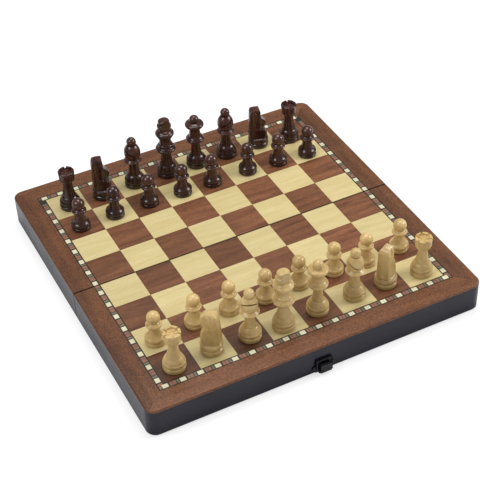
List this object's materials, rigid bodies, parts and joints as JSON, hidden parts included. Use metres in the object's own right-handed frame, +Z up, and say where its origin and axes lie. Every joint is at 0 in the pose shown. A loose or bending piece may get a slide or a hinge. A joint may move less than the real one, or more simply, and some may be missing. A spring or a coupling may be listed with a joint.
{
  "type": "folding chess box",
  "caption": "Folding wooden chess box: two lined trays hinged at their rims open flat as an inlaid chessboard, with a clasp and turned chessmen on their squares.",
  "frame": {"origin": "on the fold line, at the middle of the board, in the plane of the trays' rims", "axes": "+X along the fold towards the h file, +Y towards the eighth rank and the dark men, +Z up out of the playing surface"},
  "size_m": [0.299, 0.3078, 0.0867],
  "materials": {
    "black_lacquer": "satin black lacquer over wood",
    "plywood": "plain plywood",
    "mahogany_border": "satin varnished mahogany",
    "band_core": "satin varnished marquetry",
    "maple_tile": "satin varnished maple",
    "maple": "satin varnished maple",
    "mahogany": "satin varnished mahogany",
    "felt": "wool felt",
    "hinge_brass": "plain brass",
    "black_metal": "satin black",
    "boxwood": "satin varnished boxwood",
    "dark_stain": "glossy dark stain"
  },
  "bodies": {
    "front_half": {"front_frame": "black_lacquer", "front_panel": "plywood", "front_border": "mahogany_border", "front_band": "band_core", "front_band_tiles": "maple_tile", "front_maple_squares": "maple", "front_mahogany_squares": "mahogany", "front_lining": "felt", "hinge_front_leaves": "hinge_brass", "hinge_pins": "hinge_brass", "hinge_screws_front": "hinge_brass", "clasp_plate": "black_metal", "clasp_pin": "black_metal", "clasp_screws": "black_metal"},
    "rear_half": {"rear_frame": "black_lacquer", "rear_panel": "plywood", "rear_border": "mahogany_border", "rear_band": "band_core", "rear_band_tiles": "maple_tile", "rear_maple_squares": "maple", "rear_mahogany_squares": "mahogany", "rear_lining": "felt", "hinge_rear_leaves": "hinge_brass", "hinge_screws_rear": "hinge_brass", "catch_plate": "black_metal", "catch_screws": "black_metal"},
    "lever": {"clasp_lever": "black_metal"},
    "bail": {"clasp_bail": "black_metal"},
    "white_king": {"white_king": "boxwood"},
    "white_queen": {"white_queen": "boxwood"},
    "white_bishop_c": {"white_bishop_c": "boxwood"},
    "white_bishop_f": {"white_bishop_f": "boxwood"},
    "white_knight_b": {"white_knight_b": "boxwood"},
    "white_knight_g": {"white_knight_g": "boxwood"},
    "white_rook_a": {"white_rook_a": "boxwood"},
    "white_rook_h": {"white_rook_h": "boxwood"},
    "white_pawn_a": {"white_pawn_a": "boxwood"},
    "white_pawn_b": {"white_pawn_b": "boxwood"},
    "white_pawn_c": {"white_pawn_c": "boxwood"},
    "white_pawn_d": {"white_pawn_d": "boxwood"},
    "white_pawn_e": {"white_pawn_e": "boxwood"},
    "white_pawn_f": {"white_pawn_f": "boxwood"},
    "white_pawn_g": {"white_pawn_g": "boxwood"},
    "white_pawn_h": {"white_pawn_h": "boxwood"},
    "dark_king": {"dark_king": "dark_stain"},
    "dark_queen": {"dark_queen": "dark_stain"},
    "dark_bishop_c": {"dark_bishop_c": "dark_stain"},
    "dark_bishop_f": {"dark_bishop_f": "dark_stain"},
    "dark_knight_b": {"dark_knight_b": "dark_stain"},
    "dark_knight_g": {"dark_knight_g": "dark_stain"},
    "dark_rook_a": {"dark_rook_a": "dark_stain"},
    "dark_rook_h": {"dark_rook_h": "dark_stain"},
    "dark_pawn_a": {"dark_pawn_a": "dark_stain"},
    "dark_pawn_b": {"dark_pawn_b": "dark_stain"},
    "dark_pawn_c": {"dark_pawn_c": "dark_stain"},
    "dark_pawn_d": {"dark_pawn_d": "dark_stain"},
    "dark_pawn_e": {"dark_pawn_e": "dark_stain"},
    "dark_pawn_f": {"dark_pawn_f": "dark_stain"},
    "dark_pawn_g": {"dark_pawn_g": "dark_stain"},
    "dark_pawn_h": {"dark_pawn_h": "dark_stain"}
  },
  "joints": [
    {"name": "fold", "type": "hinge", "parent": "front_half", "child": "rear_half", "pos_m": [0, 0, -0.00015], "axis": [-1, 0, 0], "range_deg": [0, 180]},
    {"name": "clasp_swing", "type": "hinge", "parent": "front_half", "child": "lever", "pos_m": [0, -0.1527, 0.0024], "axis": [-1, 0, 0], "range_deg": [-110, 0]},
    {"name": "bail_swing", "type": "hinge", "parent": "lever", "child": "bail", "pos_m": [0, -0.152, 0.0044], "axis": [1, 0, 0], "range_deg": [0, 190]},
    {"name": "lift_white_king", "type": "slide", "parent": "front_half", "child": "white_king", "axis": [0, 0, 1], "range_m": [0, 0.07]},
    {"name": "lift_white_queen", "type": "slide", "parent": "front_half", "child": "white_queen", "axis": [0, 0, 1], "range_m": [0, 0.07]},
    {"name": "lift_white_bishop_c", "type": "slide", "parent": "front_half", "child": "white_bishop_c", "axis": [0, 0, 1], "range_m": [0, 0.07]},
    {"name": "lift_white_bishop_f", "type": "slide", "parent": "front_half", "child": "white_bishop_f", "axis": [0, 0, 1], "range_m": [0, 0.07]},
    {"name": "lift_white_knight_b", "type": "slide", "parent": "front_half", "child": "white_knight_b", "axis": [0, 0, 1], "range_m": [0, 0.07]},
    {"name": "lift_white_knight_g", "type": "slide", "parent": "front_half", "child": "white_knight_g", "axis": [0, 0, 1], "range_m": [0, 0.07]},
    {"name": "lift_white_rook_a", "type": "slide", "parent": "front_half", "child": "white_rook_a", "axis": [0, 0, 1], "range_m": [0, 0.07]},
    {"name": "lift_white_rook_h", "type": "slide", "parent": "front_half", "child": "white_rook_h", "axis": [0, 0, 1], "range_m": [0, 0.07]},
    {"name": "lift_white_pawn_a", "type": "slide", "parent": "front_half", "child": "white_pawn_a", "axis": [0, 0, 1], "range_m": [0, 0.07]},
    {"name": "lift_white_pawn_b", "type": "slide", "parent": "front_half", "child": "white_pawn_b", "axis": [0, 0, 1], "range_m": [0, 0.07]},
    {"name": "lift_white_pawn_c", "type": "slide", "parent": "front_half", "child": "white_pawn_c", "axis": [0, 0, 1], "range_m": [0, 0.07]},
    {"name": "lift_white_pawn_d", "type": "slide", "parent": "front_half", "child": "white_pawn_d", "axis": [0, 0, 1], "range_m": [0, 0.07]},
    {"name": "lift_white_pawn_e", "type": "slide", "parent": "front_half", "child": "white_pawn_e", "axis": [0, 0, 1], "range_m": [0, 0.07]},
    {"name": "lift_white_pawn_f", "type": "slide", "parent": "front_half", "child": "white_pawn_f", "axis": [0, 0, 1], "range_m": [0, 0.07]},
    {"name": "lift_white_pawn_g", "type": "slide", "parent": "front_half", "child": "white_pawn_g", "axis": [0, 0, 1], "range_m": [0, 0.07]},
    {"name": "lift_white_pawn_h", "type": "slide", "parent": "front_half", "child": "white_pawn_h", "axis": [0, 0, 1], "range_m": [0, 0.07]},
    {"name": "lift_dark_king", "type": "slide", "parent": "rear_half", "child": "dark_king", "axis": [0, 0, 1], "range_m": [0, 0.07]},
    {"name": "lift_dark_queen", "type": "slide", "parent": "rear_half", "child": "dark_queen", "axis": [0, 0, 1], "range_m": [0, 0.07]},
    {"name": "lift_dark_bishop_c", "type": "slide", "parent": "rear_half", "child": "dark_bishop_c", "axis": [0, 0, 1], "range_m": [0, 0.07]},
    {"name": "lift_dark_bishop_f", "type": "slide", "parent": "rear_half", "child": "dark_bishop_f", "axis": [0, 0, 1], "range_m": [0, 0.07]},
    {"name": "lift_dark_knight_b", "type": "slide", "parent": "rear_half", "child": "dark_knight_b", "axis": [0, 0, 1], "range_m": [0, 0.07]},
    {"name": "lift_dark_knight_g", "type": "slide", "parent": "rear_half", "child": "dark_knight_g", "axis": [0, 0, 1], "range_m": [0, 0.07]},
    {"name": "lift_dark_rook_a", "type": "slide", "parent": "rear_half", "child": "dark_rook_a", "axis": [0, 0, 1], "range_m": [0, 0.07]},
    {"name": "lift_dark_rook_h", "type": "slide", "parent": "rear_half", "child": "dark_rook_h", "axis": [0, 0, 1], "range_m": [0, 0.07]},
    {"name": "lift_dark_pawn_a", "type": "slide", "parent": "rear_half", "child": "dark_pawn_a", "axis": [0, 0, 1], "range_m": [0, 0.07]},
    {"name": "lift_dark_pawn_b", "type": "slide", "parent": "rear_half", "child": "dark_pawn_b", "axis": [0, 0, 1], "range_m": [0, 0.07]},
    {"name": "lift_dark_pawn_c", "type": "slide", "parent": "rear_half", "child": "dark_pawn_c", "axis": [0, 0, 1], "range_m": [0, 0.07]},
    {"name": "lift_dark_pawn_d", "type": "slide", "parent": "rear_half", "child": "dark_pawn_d", "axis": [0, 0, 1], "range_m": [0, 0.07]},
    {"name": "lift_dark_pawn_e", "type": "slide", "parent": "rear_half", "child": "dark_pawn_e", "axis": [0, 0, 1], "range_m": [0, 0.07]},
    {"name": "lift_dark_pawn_f", "type": "slide", "parent": "rear_half", "child": "dark_pawn_f", "axis": [0, 0, 1], "range_m": [0, 0.07]},
    {"name": "lift_dark_pawn_g", "type": "slide", "parent": "rear_half", "child": "dark_pawn_g", "axis": [0, 0, 1], "range_m": [0, 0.07]},
    {"name": "lift_dark_pawn_h", "type": "slide", "parent": "rear_half", "child": "dark_pawn_h", "axis": [0, 0, 1], "range_m": [0, 0.07]}
  ]
}
